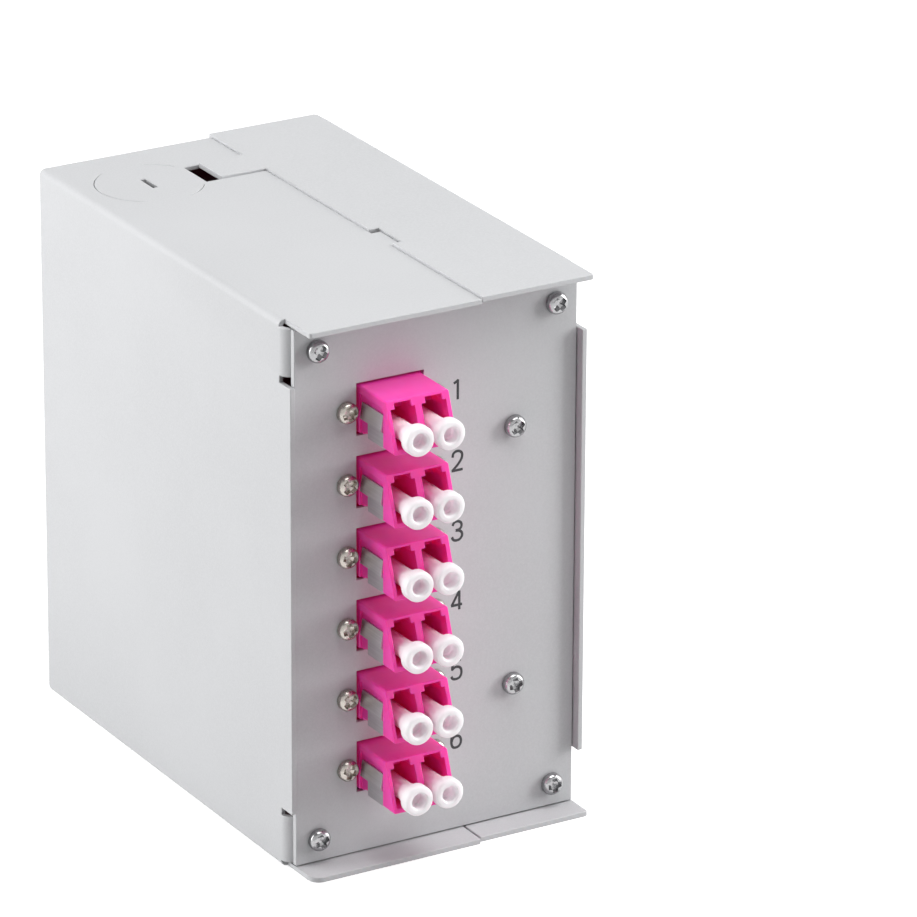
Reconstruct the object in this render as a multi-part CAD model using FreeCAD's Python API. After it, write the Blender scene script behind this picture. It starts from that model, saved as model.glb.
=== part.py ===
import FreeCAD, Part
import math
import os

V = FreeCAD.Vector

# Box body, in millimetres
width = 60.0
height = 105.0
depth = 95.0
front_overhang = 5.4
base_overhang = 6.1
sheet = 1.0
bend_inside = 0.3
corner_round = 0.6
base_corner_round = 2.4
seam_from_left = 36.0
seam_gap = 0.15
top_seam_gap = 0.05
base_seam_gap = 0.4
cover_rise = 0.45
cover_plate_inset = 0.85

# Corner tabs, relief notches and wall edges
tab_above_screw = 4.7
tab_beside_screw = 3.3
tab_bend = 2.2
tab_root_flat = 0.1
notch_gap = 1.35
left_wall_proud = 0.6
right_wall_proud = 1.75
wall_short = 0.4

# Locating key at the seam
key_from_panel = 26.4
key_length = 7.4
key_reach = 1.9
key_slack = 0.9

# Round knock-outs with the tongue notch beside them
knockout_diameter = 20.3
knockout_side_margin = 2.55
knockout_back_margin = 6.25
knockout_slit = 0.12
knockout_far_arc = 120.0
knockout_near_arc = 36.0
knockout_near_start = 34.0
driver_slot_length = 5.2
driver_slot_width = 1.1
tongue_notch_width = 9.0
tongue_notch_reach = 9.6
tongue_gap = 3.0

# Front panel
panel_sheet = 1.2
panel_side_gap = 0.15
panel_end_gap = 0.25

# Case screws
case_screw_inset = 5.65
case_screw_diameter = 3.0
case_screw_length = 6.0
case_head_diameter = 4.2
case_head_height = 1.7
case_head_round = 1.05
cross_length = 2.6
cross_width = 0.8
cross_depth = 1.1
clearance_hole = 0.4
thread_gap = 0.1

# Duplex adapters
adapter_count = 6
adapter_pitch = 13.75
adapter_from_left = 20.55
adapter_drop = 0.2
adapter_side_wall = 0.825
adapter_top_wall = 0.5
adapter_bottom_wall = 0.75
adapter_top_out = 9.3
adapter_bottom_out = 12.6
adapter_rear_length = 12.0
adapter_edge_round = 0.4
flange_margin = 2.0
flange_sheet = 2.0
window_gap = 0.45
port_pitch = 6.25
port_width = 4.9
port_floor_wall = 3.0
latch_bay_height = 1.85
latch_key_width = 3.3
latch_key_height = 1.0
latch_depth = 4.5
holder_tube_diameter = 2.5
holder_tube_length = 9.0
holder_tube_gap = 0.1
sleeve_bore = 1.25
sleeve_wall = 0.175
sleeve_length = 6.8
sleeve_gap = 0.08

# Adapter screws and nuts
adapter_screw_beside = 2.6
adapter_screw_diameter = 2.0
adapter_screw_tail = 0.6
adapter_head_diameter = 4.1
adapter_head_height = 1.6
adapter_head_round = 0.9
adapter_cross_length = 2.9
adapter_cross_width = 0.85
adapter_cross_depth = 1.0
adapter_nut_flats = 4.0
adapter_nut_height = 1.6

# Adapter spring clip
clip_recess = 0.5
clip_sheet = 0.35
clip_gap = 0.05
clip_from_panel = 0.9
clip_length = 7.5
clip_top_margin = 1.5
clip_top_gap = 1.3
clip_recess_round = 0.7
clip_ridge_out = 0.45
clip_ridge_drop = 1.3
clip_ridge_step = 0.35
clip_lower_inset = 2.0

# Dust caps
cap_side_gap = 0.55
cap_head_length = 2.1
cap_edge_round = 0.5
cap_hole_diameter = 2.9
cap_hole_depth = 2.2
cap_face_gap = 1.5
cap_neck_diameter = 4.4
cap_neck_length = 1.0
cap_plug_wall = 0.35
cap_bore_gap = 0.1
cap_floor_gap = 0.5
cap_plug_bore_depth = 6.0

# Rail clip, an extruded profile for a 35 mm rail
rail_height = 35.0
rail_clip_width = 50.0
rail_plate = 2.5
rail_plate_below = 5.1
rail_play = 0.1
lower_lip_grip = 1.4
lower_lip_inner = 2.6
lower_lip_out = 7.7
lower_lip_nose = 0.9
lower_lip_under = 2.5
lower_lip_draft = 0.1
lower_lip_slope = 1.2
upper_lip_grip = 1.2
upper_lip_gap = 2.7
upper_lip_thick = 1.9
upper_groove_rise = 6.8
upper_groove_width = 1.5
hook_waist_wall = 1.2
hook_waist_rise = 6.0
hook_bulge_out = 6.9
hook_bulge_rise = 8.1
hook_shoulder_out = 5.0
hook_shoulder_rise = 10.7
hook_top_rise = 11.8
crimp_diameter = 2.2
crimp_depth = 0.6

# Rail clip screws and nuts
rail_screw_spread = 25.3
rail_screw_rise = 0.9
rail_screw_diameter = 4.0
rail_head_diameter = 8.0
rail_head_height = 1.9
rail_head_gap = 0.15
rail_socket_flats = 2.9
rail_socket_depth = 1.5
rail_screw_tail = 0.8
rail_nut_flats = 7.0
rail_nut_height = 3.2

# Rail spring wire
wire_diameter = 1.4
wire_gap = 0.1
wire_bend = 1.6
wire_yoke_half = 2.4
wire_yoke_rise = 3.4
wire_root_half = 4.6
wire_root_drop = 0.5
wire_leg_plus = 18.4
wire_leg_plus_drop = 7.6
wire_leg_minus = 20.4
wire_leg_minus_drop = 4.4
wire_tip_plus = 3.4
wire_tip_plus_rise = 5.0
wire_tip_minus = 1.0
wire_tip_minus_rise = 4.4

# Tray bracket
bracket_screw_from_right = 14.1
bracket_screw_spread = 50.0
bracket_sheet = 1.0
bracket_flange_half = 4.5
bracket_flange_margin = 7.0
bracket_end_margin = 12.5
bracket_rear_gap = 14.0

# Splice tray, lid and holder
tray_front_gap = 7.5
tray_rear_margin = 1.0
tray_end_margin = 1.0
tray_depth = 9.0
tray_floor = 1.5
tray_wall = 1.5
tray_corner = 10.0
tray_lid = 1.2
tray_spool_margin = 3.0
tray_spool_rise = 3.0
tray_guide_length = 10.0
tray_guide_reach = 4.0
tray_guide_sheet = 1.0
tray_screw_inset = 5.0
tray_screw_diameter = 3.0
tray_screw_head = 5.5
tray_screw_head_height = 1.6
tray_screw_tail = 0.6
tray_nut_flats = 5.5
tray_nut_height = 2.4
holder_length = 26.0
holder_width = 17.0
holder_gap = 3.0
holder_guide_gap = 1.0
holder_base = 1.0
holder_rib_height = 4.0
holder_rib_sheet = 0.8
holder_slots = 6

# Planes and places that follow from the sizes above
left = -width / 2
right = width / 2
front = -depth / 2
back = depth / 2
middle_y = (front + back) / 2
middle_z = height / 2
plate_front = front - front_overhang
base_front = front - base_overhang
before_front = base_front - 1
panel_back = front + panel_sheet
left_wall_front = front - left_wall_proud
right_wall_front = front - right_wall_proud
bend_outside = bend_inside + sheet
tab_height = case_screw_inset + tab_above_screw
tab_reach = case_screw_inset + tab_beside_screw
tab_front_root = panel_back + tab_bend + tab_root_flat
tab_rear_root = back - sheet - tab_bend - tab_root_flat
seam_x = left + seam_from_left
cover_seam_x = seam_x + top_seam_gap
cover_plate_x = right - cover_plate_inset
cover_top = height + cover_rise
adapter_x = left + adapter_from_left
adapter_width = port_pitch + port_width + 2 * adapter_side_wall
latch_height = latch_bay_height + latch_key_height
adapter_height = adapter_bottom_wall + port_width + latch_height + adapter_top_wall
port_drop = adapter_height / 2 - adapter_bottom_wall - port_width / 2
adapter_screw_spread = adapter_width + 2 * adapter_screw_beside
flange_width = adapter_screw_spread + 2 * flange_margin
sleeve_diameter = sleeve_bore + 2 * sleeve_wall
cap_diameter = port_pitch - cap_side_gap
cap_plug_bore = holder_tube_diameter + 2 * cap_bore_gap
cap_plug_diameter = cap_plug_bore + 2 * cap_plug_wall
adapter_rear = panel_back + flange_sheet + adapter_rear_length
adapter_top_row = middle_z - adapter_drop + (adapter_count - 1) / 2 * adapter_pitch
adapter_heights = [adapter_top_row - i * adapter_pitch for i in range(adapter_count)]
adapter_mid = panel_back + flange_sheet
case_screw_heights = [case_screw_inset, height - case_screw_inset]
bracket_screw_x = right - bracket_screw_from_right
bracket_screw_heights = [middle_z - bracket_screw_spread / 2, middle_z + bracket_screw_spread / 2]


def block(xa, xb, ya, yb, za, zb):
    """Box between two opposite corners, given in any order."""
    low = V(min(xa, xb), min(ya, yb), min(za, zb))
    return Part.makeBox(abs(xb - xa), abs(yb - ya), abs(zb - za), low)


def rod(radius, start, end):
    """Cylinder from one point to another."""
    along = end - start
    return Part.makeCylinder(radius, along.Length, start, along)


def edges_at(shape, x=None, y=None, z=None):
    """Edges whose middle lies on the given coordinates."""
    found = []
    for edge in shape.Edges:
        mid = edge.CenterOfMass
        pairs = [(x, mid.x), (y, mid.y), (z, mid.z)]
        if all(want is None or abs(want - have) < 1e-4 for want, have in pairs):
            found.append(edge)
    return found


def flipped(shape, top):
    """The same shape upside down between the base and the given top."""
    return shape.mirror(V(0, 0, top / 2), V(0, 0, 1))


def joined(first, others):
    """One solid fused from pieces that touch."""
    return first.multiFuse(others).removeSplitter()


def prism_x(points, x0, x1):
    """Solid with a closed outline of Y and Z points, from one X to another."""
    corners = [V(x0, y, z) for y, z in points]
    face = Part.Face(Part.makePolygon(corners + corners[:1]))
    return face.extrude(V(x1 - x0, 0, 0))


def hex_rod(flats, start, end):
    """Six-sided bar along Y between two points."""
    radius = flats / math.sqrt(3)
    corners = []
    for i in range(7):
        turn = math.radians(30 + 60 * i)
        corners.append(start + V(radius * math.cos(turn), 0, radius * math.sin(turn)))
    return Part.Face(Part.makePolygon(corners)).extrude(end - start)


def pan_screw(seat, outward, head, round_edge, shank, cross, turn):
    """Pan head screw along Y with its head's underside at the seat, and a cross recess."""
    head_diameter, head_height = head
    shank_diameter, shank_length = shank
    cross_long, cross_wide, cross_deep = cross
    solid = Part.makeCylinder(head_diameter / 2, head_height)
    rim = [e for e in solid.Edges if abs(e.CenterOfMass.z - head_height) < 1e-4 and e.Closed]
    solid = solid.makeFillet(round_edge, rim[:1])
    top = head_height + 0.5
    floor = head_height - cross_deep
    for size_x, size_y in ((cross_long, cross_wide), (cross_wide, cross_long)):
        solid = solid.cut(block(-size_x / 2, size_x / 2, -size_y / 2, size_y / 2, floor, top))
    solid = solid.fuse(Part.makeCylinder(shank_diameter / 2, shank_length, V(0, 0, -shank_length)))
    solid = solid.removeSplitter()
    solid.rotate(V(0, 0, 0), V(0, 0, 1), turn)
    solid.rotate(V(0, 0, 0), V(1, 0, 0), -90 * outward)
    solid.translate(seat)
    return solid


def case_screw(x, y, z, outward, turn):
    """One of the larger pan head screws of the case."""
    head = (case_head_diameter, case_head_height)
    shank = (case_screw_diameter, case_screw_length)
    cross = (cross_length, cross_width, cross_depth)
    return pan_screw(V(x, y, z), outward, head, case_head_round, shank, cross, turn)


def through_y(x, z, diameter, y0, y1):
    """Round cutter along Y."""
    return rod(diameter / 2, V(x, y0, z), V(x, y1, z))


def corner_tab(side, face_y, inward, screw_z):
    """Bent-in tab at a lower corner of a side wall, with a screw hole."""
    wall_x = side * width / 2
    inner_x = wall_x - side * sheet
    rear_y = face_y + inward * sheet
    root_y = tab_front_root if inward > 0 else tab_rear_root
    flat = block(wall_x, wall_x - side * tab_reach, face_y, rear_y, bend_outside, tab_height)
    strip = block(wall_x, inner_x, face_y, root_y, bend_outside, tab_height)
    tab = joined(flat, [strip])
    tab = tab.makeFillet(tab_bend, edges_at(tab, x=wall_x, y=face_y))
    tab = tab.makeFillet(tab_bend - sheet, edges_at(tab, x=inner_x, y=rear_y))
    hole_x = wall_x - side * case_screw_inset
    return tab.cut(through_y(hole_x, screw_z, case_screw_diameter + thread_gap, front, back))


def lower_corner_cut(side, inward, plate_inset):
    """What is cut from a side wall at a lower corner: bend relief and the tab's space with a notch."""
    wall_x = side * width / 2
    out_x = wall_x + side
    inner_x = wall_x - side * (sheet + seam_gap)
    plate_x = wall_x - side * plate_inset
    bend_x = wall_x - side * bend_outside
    if inward > 0:
        far_y = before_front
        root_y = tab_front_root
    else:
        far_y = back + 1
        root_y = tab_rear_root
    plate_edge = block(out_x, plate_x, far_y, root_y, -1, sheet)
    bend = block(out_x, bend_x, far_y, root_y, sheet, bend_outside)
    space = block(out_x, inner_x, far_y, root_y, bend_outside, tab_height + notch_gap)
    return plate_edge.multiFuse([bend, space])


# Housing shell: left wall, back and the left part of the top and bottom plates
def arc_slit(x, y, start, sweep, z0, z1):
    """Curved slit of the knock-out, from a start angle over a sweep."""
    radius = knockout_diameter / 2
    outer = Part.makeCylinder(radius + knockout_slit / 2, z1 - z0, V(x, y, z0), V(0, 0, 1), sweep)
    inner = Part.makeCylinder(radius - knockout_slit / 2, z1 - z0, V(x, y, z0), V(0, 0, 1))
    slit = outer.cut(inner)
    slit.rotate(V(x, y, 0), V(0, 0, 1), start)
    return slit


knockout_x = left + bend_outside + knockout_side_margin + knockout_diameter / 2
knockout_y = back - bend_outside - knockout_back_margin - knockout_diameter / 2
tongue_y0 = knockout_y - tongue_notch_width / 2
tongue_y1 = knockout_y + tongue_notch_width / 2
notch_end_x = knockout_x + tongue_notch_reach
key_y0 = front + key_from_panel
key_y1 = key_y0 + key_length

housing = block(left, right + width, base_front, back, 0, height)
bends = edges_at(housing, x=left, z=0) + edges_at(housing, x=left, z=height)
bends += edges_at(housing, x=left, y=back)
bends += edges_at(housing, y=back, z=0) + edges_at(housing, y=back, z=height)
housing = housing.makeFillet(bend_outside, bends)
hollow = block(left + sheet, right + 2 * width, base_front - depth, back - sheet, sheet, height - sheet)
bends = edges_at(hollow, x=left + sheet, z=sheet) + edges_at(hollow, x=left + sheet, z=height - sheet)
bends += edges_at(hollow, x=left + sheet, y=back - sheet)
bends += edges_at(hollow, y=back - sheet, z=sheet) + edges_at(hollow, y=back - sheet, z=height - sheet)
housing = housing.cut(hollow.makeFillet(bend_inside, bends))
housing = housing.cut(block(left - 1, right + 2 * width, before_front, plate_front, middle_z, height + 1))

# The plates stop at the seam, and the back ends beside the cover's wall
back_right = right - sheet - panel_side_gap
housing = housing.cut(block(back_right, right + 2 * width, before_front, back + 1, -1, height + 1))
back_top = cover_top - sheet - seam_gap
for low, high in ((-1, bend_outside), (height - bend_outside, height + 1)):
    housing = housing.cut(block(seam_x, right, before_front, back - sheet, low, high))
for low, high in ((-1, sheet + seam_gap), (back_top, height + 1)):
    housing = housing.cut(block(seam_x, right, middle_y, back + 1, low, high))

# Front edge of the left wall, the corner tabs and their notches
edge = block(left - 1, left + bend_outside, before_front, left_wall_front, -1, height + 1)
housing = housing.cut(edge)
corner = lower_corner_cut(-1, 1, bend_outside)
housing = housing.cut(corner).cut(flipped(corner, height))
tab = corner_tab(-1, panel_back, 1, case_screw_inset)
housing = joined(housing, [tab, flipped(tab, height)])

# Knock-outs and tongue notches in the top and bottom, and the key at the seam
plate_low = -0.5
plate_high = sheet + 0.5
arcs = [(180 - knockout_far_arc / 2, knockout_far_arc), (knockout_near_start, knockout_near_arc)]
arcs.append((-knockout_near_start - knockout_near_arc, knockout_near_arc))
cutters = [arc_slit(knockout_x, knockout_y, start, sweep, plate_low, plate_high) for start, sweep in arcs]
slot_x = driver_slot_width / 2
slot_y = driver_slot_length / 2
cutters.append(block(knockout_x - slot_x, knockout_x + slot_x, knockout_y - slot_y, knockout_y + slot_y,
                     plate_low, plate_high))
cutters.append(block(notch_end_x, seam_x + 1, tongue_y0, tongue_y1, plate_low, plate_high))
for cutter in cutters:
    housing = housing.cut(cutter).cut(flipped(cutter, height))
key = block(seam_x - 1, seam_x + key_reach, key_y0, key_y1, 0, sheet)
housing = joined(housing, [key, flipped(key, height)])

# Holes in the back for the cover's rear screws and the rail clip's screws
rear_screw_x = right - case_screw_inset
for z in case_screw_heights:
    hole = through_y(rear_screw_x, z, case_screw_diameter + clearance_hole, back - 2 * sheet, back + 1)
    housing = housing.cut(hole)
rail_z = middle_z
rail_screw_z = rail_z + rail_screw_rise
rail_screw_places = [-rail_screw_spread / 2, rail_screw_spread / 2]
for x in rail_screw_places:
    hole = through_y(x, rail_screw_z, rail_screw_diameter + clearance_hole, back - 2 * sheet, back + 1)
    housing = housing.cut(hole)
for y, corner in ((base_front, base_corner_round), (plate_front, corner_round)):
    housing = housing.makeFillet(corner, edges_at(housing, x=left + bend_outside, y=y))

# Cover shell: right wall and the right part of the top and bottom plates
cover = block(cover_seam_x, right, plate_front, back, 0, cover_top)
bends = edges_at(cover, x=right, z=0) + edges_at(cover, x=right, z=cover_top)
cover = cover.makeFillet(bend_outside, bends)
hollow = block(left, right - sheet, plate_front - depth, back + depth, sheet, cover_top - sheet)
bends = edges_at(hollow, x=right - sheet, z=sheet) + edges_at(hollow, x=right - sheet, z=cover_top - sheet)
cover = cover.cut(hollow.makeFillet(bend_inside, bends))
under_top = cover_top - sheet
cover = cover.cut(block(right + 1, right - bend_outside, before_front, right_wall_front, sheet, under_top))
cover = cover.cut(block(right + 1, cover_plate_x, before_front, right_wall_front, -1, cover_top + 1))
cover = cover.cut(block(right + 1, right - bend_outside, back - wall_short, back + 1, -1, cover_top + 1))
cover = cover.cut(block(left, seam_x + base_seam_gap, before_front, back + 1, -1, bend_outside))
for inward in (1, -1):
    corner = lower_corner_cut(1, inward, cover_plate_inset)
    cover = cover.cut(corner).cut(flipped(corner, cover_top))
tabs = []
for face_y, inward in ((panel_back, 1), (back - sheet, -1)):
    tabs.append(corner_tab(1, face_y, inward, case_screw_inset))
    tabs.append(flipped(corner_tab(1, face_y, inward, case_screw_inset + cover_rise), cover_top))
cover = joined(cover, tabs)

# Tongues that reach to the knock-outs, and the recess for the key
tongue_x = notch_end_x + tongue_gap
tongue = block(tongue_x, cover_seam_x + 1, tongue_y0 + seam_gap, tongue_y1 - seam_gap, 0, sheet)
cover = joined(cover, [tongue, flipped(tongue, cover_top)])
recess_x = seam_x + key_reach + seam_gap
recess = block(seam_x - 1, recess_x, key_y0 - seam_gap, key_y1 + key_slack, -1, bend_outside)
cover = cover.cut(recess).cut(flipped(recess, cover_top))
cover = cover.makeFillet(corner_round, edges_at(cover, x=cover_plate_x, y=plate_front))

# Front panel with adapter windows and screw holes
panel_x = width / 2 - sheet - panel_side_gap
panel_z0 = sheet + panel_end_gap
front_panel = block(-panel_x, panel_x, front, panel_back, panel_z0, height - panel_z0)
window_x = adapter_width / 2 + window_gap
window_z = adapter_height / 2 + window_gap
for z in adapter_heights:
    window = block(adapter_x - window_x, adapter_x + window_x, front - 1, panel_back + 1,
                   z - window_z, z + window_z)
    front_panel = front_panel.cut(window)
    for side in (-1, 1):
        hole_x = adapter_x + side * adapter_screw_spread / 2
        hole_size = adapter_screw_diameter + clearance_hole
        front_panel = front_panel.cut(through_y(hole_x, z, hole_size, front - 1, panel_back + 1))
case_screw_x = width / 2 - case_screw_inset
panel_holes = [(side * case_screw_x, z) for side in (-1, 1) for z in case_screw_heights]
panel_holes += [(bracket_screw_x, z) for z in bracket_screw_heights]
for x, z in panel_holes:
    hole = through_y(x, z, case_screw_diameter + clearance_hole, front - 1, panel_back + 1)
    front_panel = front_panel.cut(hole)

# Case screws on the front and the back
front_screws = []
for i, (x, z) in enumerate(panel_holes[:4]):
    front_screws.append(case_screw(x, front, z, -1, 20 + 37 * i))
bracket_screws = []
for i, z in enumerate(bracket_screw_heights):
    bracket_screws.append(case_screw(bracket_screw_x, front, z, -1, 10 + 25 * i))
rear_screws = []
for i, z in enumerate(case_screw_heights):
    rear_screws.append(case_screw(rear_screw_x, back, z, 1, 5 + 30 * i))


# Duplex adapter: moulded body with a flange behind the panel and two ports at each end
def face_out(offset_z):
    """How far the slanted front face stands out of the panel at a height above the middle."""
    share = (adapter_height / 2 - offset_z) / adapter_height
    return adapter_top_out + share * (adapter_bottom_out - adapter_top_out)


def port_cut(port_x, z, from_y, floor_y):
    """One port with its latch bay and keyway, from outside the face to the port's floor."""
    half = port_width / 2
    half_key = latch_key_width / 2
    inward = 1 if floor_y > from_y else -1
    latch_end = front - adapter_top_out + latch_depth
    if inward < 0:
        latch_end = adapter_rear - latch_depth
    bay_z = z + half + latch_bay_height
    square = block(port_x - half, port_x + half, from_y, floor_y, z - half, z + half)
    bay = block(port_x - half, port_x + half, from_y, latch_end, z, bay_z)
    key = block(port_x - half_key, port_x + half_key, from_y, latch_end, z, bay_z + latch_key_height)
    return square.multiFuse([bay, key])


def lc_adapter(z):
    half_x = adapter_width / 2
    half_z = adapter_height / 2
    outline = [(front - face_out(half_z), z + half_z), (front - face_out(-half_z), z - half_z)]
    outline += [(adapter_rear, z - half_z), (adapter_rear, z + half_z)]
    body = prism_x(outline, adapter_x - half_x, adapter_x + half_x)
    long_edges = [e for e in body.Edges if abs(e.Vertexes[0].X - e.Vertexes[1].X) < 1e-6]
    long_edges = [e for e in long_edges if abs(e.Vertexes[0].Z - e.Vertexes[1].Z) < 1e-6]
    body = body.makeFillet(adapter_edge_round, long_edges)
    flange_x = flange_width / 2
    flange = block(adapter_x - flange_x, adapter_x + flange_x, panel_back, panel_back + flange_sheet,
                   z - half_z, z + half_z)
    body = joined(body, [flange])
    for side in (-1, 1):
        hole_x = adapter_x + side * adapter_screw_spread / 2
        body = body.cut(through_y(hole_x, z, adapter_screw_diameter + clearance_hole, front, back))
    far_y = front - adapter_bottom_out - 1
    for side in (-1, 1):
        port_x = adapter_x + side * port_pitch / 2
        port_z = z - port_drop
        body = body.cut(port_cut(port_x, port_z, far_y, adapter_mid - port_floor_wall / 2))
        body = body.cut(port_cut(port_x, port_z, adapter_rear + 1, adapter_mid + port_floor_wall / 2))
        body = body.cut(through_y(port_x, port_z, holder_tube_diameter + 2 * holder_tube_gap, front, back))
    clip_y0 = front - clip_from_panel
    clip_y1 = clip_y0 - clip_length
    clip_z = z + half_z - clip_top_margin
    for side in (-1, 1):
        side_x = adapter_x + side * half_x
        floor_x = side_x - side * clip_recess
        pocket = block(side_x + side, floor_x, front, clip_y1, z - half_z - 1, clip_z)
        pocket = pocket.makeFillet(clip_recess_round, edges_at(pocket, y=clip_y1, z=clip_z))
        body = body.cut(pocket)
    under_z = z - half_z
    strap_z = under_z + clip_gap + clip_sheet
    strap = block(adapter_x - half_x, adapter_x + half_x, clip_y0, clip_y1, under_z - 1, strap_z)
    return body.cut(strap)


def adapter_clip(z):
    """Folded spring clip under the adapter and up its sides, each side flared above a step."""
    inner_x = adapter_width / 2 - clip_recess + clip_gap
    half_x = inner_x + clip_sheet
    low_z = z - adapter_height / 2
    top_z = z + adapter_height / 2 - clip_top_margin - clip_top_gap
    ridge_z = z - clip_ridge_drop
    step_z = ridge_z - clip_ridge_step
    y0 = front - clip_from_panel - clip_gap
    y1 = front - clip_from_panel - clip_length + clip_gap
    outer = [(half_x, top_z), (half_x + clip_ridge_out, ridge_z), (half_x, step_z), (half_x, low_z)]
    inner = [(inner_x, low_z + clip_sheet), (inner_x, step_z + clip_sheet)]
    inner += [(inner_x + clip_ridge_out, ridge_z + clip_sheet), (inner_x, top_z)]
    corners = [V(adapter_x + x, y0, level) for x, level in outer]
    corners += [V(adapter_x - x, y0, level) for x, level in outer[::-1] + inner[::-1]]
    corners += [V(adapter_x + x, y0, level) for x, level in inner]
    clip = Part.Face(Part.makePolygon(corners + corners[:1])).extrude(V(0, y1 - y0, 0))
    return clip.cut(block(adapter_x - adapter_width, adapter_x + adapter_width, front, y0 - clip_lower_inset,
                          low_z - 1, step_z))


adapters = [lc_adapter(z) for z in adapter_heights]
clips = [adapter_clip(z) for z in adapter_heights]

# Adapter screws, nuts, and the holder tubes and ceramic sleeves in the ports
adapter_screws = []
adapter_nuts = []
holder_tubes = []
sleeves = []
adapter_shank = panel_sheet + flange_sheet + adapter_nut_height + adapter_screw_tail
nut_y = panel_back + flange_sheet
for i, z in enumerate(adapter_heights):
    for side in (-1, 1):
        x = adapter_x + side * adapter_screw_spread / 2
        head = (adapter_head_diameter, adapter_head_height)
        shank = (adapter_screw_diameter, adapter_shank)
        cross = (adapter_cross_length, adapter_cross_width, adapter_cross_depth)
        seat = V(x, front, z)
        adapter_screws.append(pan_screw(seat, -1, head, adapter_head_round, shank, cross, 15 + 29 * i))
        nut = hex_rod(adapter_nut_flats, V(x, nut_y, z), V(x, nut_y + adapter_nut_height, z))
        adapter_nuts.append(nut.cut(through_y(x, z, adapter_screw_diameter + thread_gap, front, back)))
        port_x = adapter_x + side * port_pitch / 2
        tube_half = V(0, holder_tube_length / 2, 0)
        sleeve_half = V(0, sleeve_length / 2, 0)
        centre = V(port_x, adapter_mid, z - port_drop)
        tube = rod(holder_tube_diameter / 2, centre - tube_half, centre + tube_half)
        tube_bore = rod(sleeve_diameter / 2 + sleeve_gap, centre - tube_half, centre + tube_half)
        holder_tubes.append(tube.cut(tube_bore))
        sleeve = rod(sleeve_diameter / 2, centre - sleeve_half, centre + sleeve_half)
        sleeves.append(sleeve.cut(rod(sleeve_bore / 2, centre - sleeve_half, centre + sleeve_half)))


# Dust caps, pushed into the ports from the front until they grip the holder tubes
def dust_cap(port_x, z):
    head_y = front - face_out(-port_drop - cap_diameter / 2) - cap_face_gap
    tip_y = head_y - cap_head_length
    head = rod(cap_diameter / 2, V(port_x, head_y, z), V(port_x, tip_y, z))
    rim = [e for e in head.Edges if e.Closed and abs(e.CenterOfMass.y - tip_y) < 1e-4]
    head = head.makeFillet(cap_edge_round, rim[:1])
    plug_end = adapter_mid - port_floor_wall / 2 - cap_floor_gap
    plug = rod(cap_plug_diameter / 2, V(port_x, head_y, z), V(port_x, plug_end, z))
    neck = Part.makeCone(cap_neck_diameter / 2, cap_plug_diameter / 2, cap_neck_length,
                         V(port_x, head_y, z), V(0, 1, 0))
    cap = joined(head, [plug, neck])
    cap = cap.cut(rod(cap_hole_diameter / 2, V(port_x, tip_y - 1, z), V(port_x, tip_y + cap_hole_depth, z)))
    bore_start = V(port_x, plug_end - cap_plug_bore_depth, z)
    return cap.cut(rod(cap_plug_bore / 2, bore_start, V(port_x, plug_end + 1, z)))


# Rail clip: extruded profile, in distances from the back face and from the rail's middle
rail_low = rail_z - rail_height / 2 - rail_play
rail_high = rail_z + rail_height / 2
lip_low = rail_high - upper_lip_grip
lip_inner_y = rail_plate + lower_lip_inner
tip_z = rail_low + lower_lip_grip - (lower_lip_out - lip_inner_y)
lip_root_y = rail_plate + upper_groove_width
upper_lip_inner = rail_plate + upper_lip_gap
upper_lip_out = upper_lip_inner + upper_lip_thick
hook_waist_out = lip_root_y + hook_waist_wall
waist_z = lip_low + hook_waist_rise + upper_lip_grip
groove_top = lip_low + upper_groove_rise + upper_lip_grip
profile = [(0, rail_low - rail_plate_below), (lower_lip_out - lower_lip_slope, tip_z - lower_lip_under)]
profile += [(lower_lip_out - lower_lip_draft, tip_z - lower_lip_nose), (lower_lip_out, tip_z)]
profile += [(lip_inner_y, rail_low + lower_lip_grip), (lip_inner_y, rail_low), (rail_plate, rail_low)]
profile += [(rail_plate, groove_top), (lip_root_y, groove_top)]
profile += [(upper_lip_inner, lip_low), (upper_lip_out, lip_low)]
profile += [(hook_waist_out, waist_z)]
bulge_z = rail_high + hook_bulge_rise
top_z = rail_high + hook_top_rise
corners = [V(-rail_clip_width / 2, back + y, z) for y, z in profile]
outline = [Part.LineSegment(a, b).toShape() for a, b in zip(corners, corners[1:])]
bulge = V(-rail_clip_width / 2, back + hook_bulge_out, bulge_z)
crown = V(-rail_clip_width / 2, back, top_z)
shoulder = V(-rail_clip_width / 2, back + hook_shoulder_out, rail_high + hook_shoulder_rise)
outline.append(Part.LineSegment(corners[-1], bulge).toShape())
outline.append(Part.Arc(bulge, shoulder, crown).toShape())
outline.append(Part.LineSegment(crown, corners[0]).toShape())
rail_clip = Part.Face(Part.Wire(outline)).extrude(V(rail_clip_width, 0, 0))

# Countersunk holes and the crimp mark over the spring's middle
head_radius = rail_head_diameter / 2 + rail_head_gap
hole_radius = (rail_screw_diameter + clearance_hole) / 2
plate_face = back + rail_plate
for x in rail_screw_places:
    sink_depth = rail_head_height + rail_head_gap
    sink_start = V(x, plate_face - sink_depth, rail_screw_z)
    rail_clip = rail_clip.cut(Part.makeCone(hole_radius, head_radius, sink_depth, sink_start, V(0, 1, 0)))
    rail_clip = rail_clip.cut(through_y(x, rail_screw_z, 2 * hole_radius, back - 1, plate_face + 1))
crimp_z = (waist_z + lip_low) / 2 + upper_lip_grip
crimp_share = (waist_z - crimp_z) / (waist_z - lip_low)
crimp_y = back + hook_waist_out + crimp_share * (upper_lip_out - hook_waist_out)
crimp_foot = V(0, crimp_y - crimp_depth, crimp_z)
rail_clip = rail_clip.cut(Part.makeCone(0, crimp_diameter / 2, 2 * crimp_depth, crimp_foot, V(0, 1, 0)))

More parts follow.
